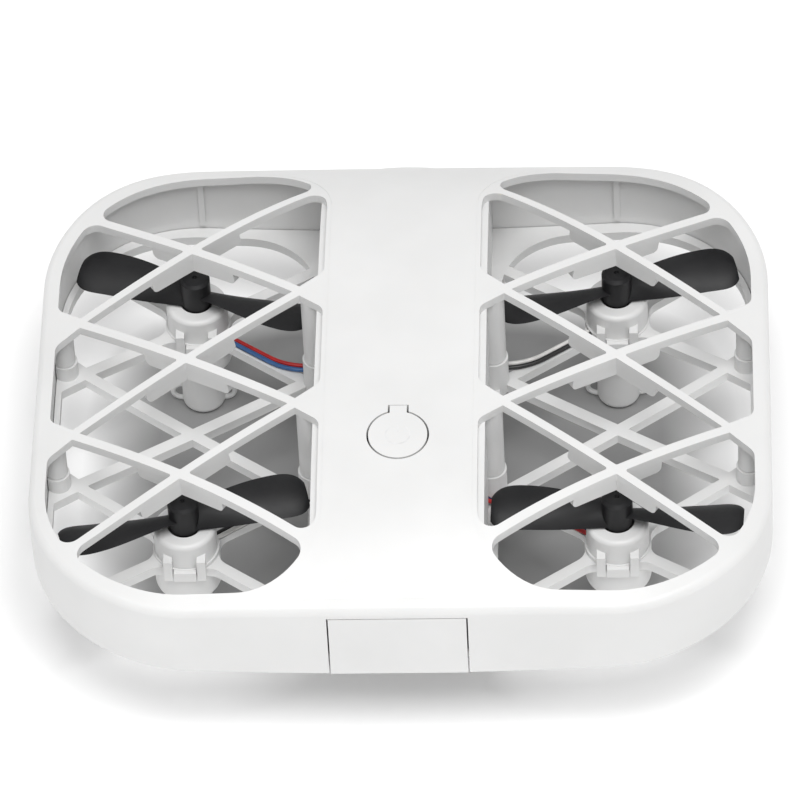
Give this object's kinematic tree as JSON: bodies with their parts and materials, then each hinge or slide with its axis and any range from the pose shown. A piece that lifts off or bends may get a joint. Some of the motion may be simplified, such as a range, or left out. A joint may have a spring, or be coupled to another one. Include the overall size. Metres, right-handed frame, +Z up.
{
  "type": "mini palm drone",
  "caption": "Flat palm-size quadcopter: rounded white shell with diagonal guard ribs over black two-blade propellers, a round power button and a slide-out battery.",
  "frame": {"origin": "on the ground under the centre of the body, between the four motor pods it stands on", "axes": "+X to the drone's right, +Y forward to the camera's end, +Z up"},
  "size_m": [0.12, 0.1009, 0.0401],
  "materials": {
    "white_shell": "satin ABS",
    "black_blade": "satin",
    "motor_steel": "drawn can",
    "shaft_steel": "ground",
    "red_wire": "gloss insulation",
    "blue_wire": "gloss insulation",
    "white_wire": "gloss insulation",
    "black_wire": "gloss insulation",
    "circuit_green": "solder mask",
    "chip_black": "moulded",
    "switch_metal": "plated",
    "switch_grey": "matte",
    "light_lens": "clear epoxy",
    "antenna_black": "gloss insulation",
    "cell_foil": "foil pouch",
    "gold_contact": "plated",
    "lens_glass": "polished",
    "ribbon_amber": "flex film",
    "screw_steel": "zinc plated"
  },
  "bodies": {
    "airframe": {"antenna_wire": "antenna_black", "battery_contacts": "gold_contact", "board_chips": "chip_black", "bottom_shell": "white_shell", "camera_lens": "lens_glass", "camera_module": "chip_black", "camera_ribbon": "ribbon_amber", "contact_block": "chip_black", "flight_board": "circuit_green", "front_left_motor": "motor_steel", "front_left_motor_cap": "white_shell", "front_left_negative_lead": "blue_wire", "front_left_positive_lead": "red_wire", "front_right_motor": "motor_steel", "front_right_motor_cap": "white_shell", "front_right_negative_lead": "black_wire", "front_right_positive_lead": "white_wire", "guard_left": "white_shell", "guard_right": "white_shell", "motor_frame_left": "white_shell", "motor_frame_right": "white_shell", "power_switch": "switch_metal", "rear_left_motor": "motor_steel", "rear_left_motor_cap": "white_shell", "rear_left_negative_lead": "black_wire", "rear_left_positive_lead": "white_wire", "rear_right_motor": "motor_steel", "rear_right_motor_cap": "white_shell", "rear_right_negative_lead": "blue_wire", "rear_right_positive_lead": "red_wire", "shell_screws": "screw_steel", "status_light": "light_lens", "top_shell": "white_shell"},
    "battery_module": {"battery_case": "white_shell", "battery_lid": "white_shell", "battery_cell": "cell_foil", "protection_board": "circuit_green", "charging_socket": "switch_metal"},
    "button": {"power_button": "white_shell"},
    "plunger": {"switch_plunger": "switch_grey"},
    "front_left_rotor": {"front_left_shaft": "shaft_steel", "front_left_propeller": "black_blade"},
    "front_right_rotor": {"front_right_shaft": "shaft_steel", "front_right_propeller": "black_blade"},
    "rear_left_rotor": {"rear_left_shaft": "shaft_steel", "rear_left_propeller": "black_blade"},
    "rear_right_rotor": {"rear_right_shaft": "shaft_steel", "rear_right_propeller": "black_blade"}
  },
  "joints": [
    {"name": "battery_slide", "type": "slide", "parent": "airframe", "child": "battery_module", "axis": [0, -1, 0], "range_m": [0, 0.06]},
    {"name": "button_press", "type": "hinge", "parent": "airframe", "child": "button", "pos_m": [0, -0.01404, 0.039], "axis": [1, 0, 0], "range_deg": [0, 3], "stiffness_Nm_per_rad": 0.2},
    {"name": "plunger_press", "type": "slide", "parent": "airframe", "child": "plunger", "axis": [0, 0, -1], "range_m": [0, 0.0006]},
    {"name": "front_left_spin", "type": "hinge", "parent": "airframe", "child": "front_left_rotor", "pos_m": [-0.035, 0.025, 0.0267], "axis": [0, 0, 1], "continuous": true},
    {"name": "front_right_spin", "type": "hinge", "parent": "airframe", "child": "front_right_rotor", "pos_m": [0.035, 0.025, 0.0267], "axis": [0, 0, 1], "continuous": true},
    {"name": "rear_left_spin", "type": "hinge", "parent": "airframe", "child": "rear_left_rotor", "pos_m": [-0.035, -0.025, 0.0267], "axis": [0, 0, 1], "continuous": true},
    {"name": "rear_right_spin", "type": "hinge", "parent": "airframe", "child": "rear_right_rotor", "pos_m": [0.035, -0.025, 0.0267], "axis": [0, 0, 1], "continuous": true}
  ],
  "couplings": [
    {"joint": "plunger_press", "follows": "button_press", "m_per_rad": 0.0062}
  ]
}
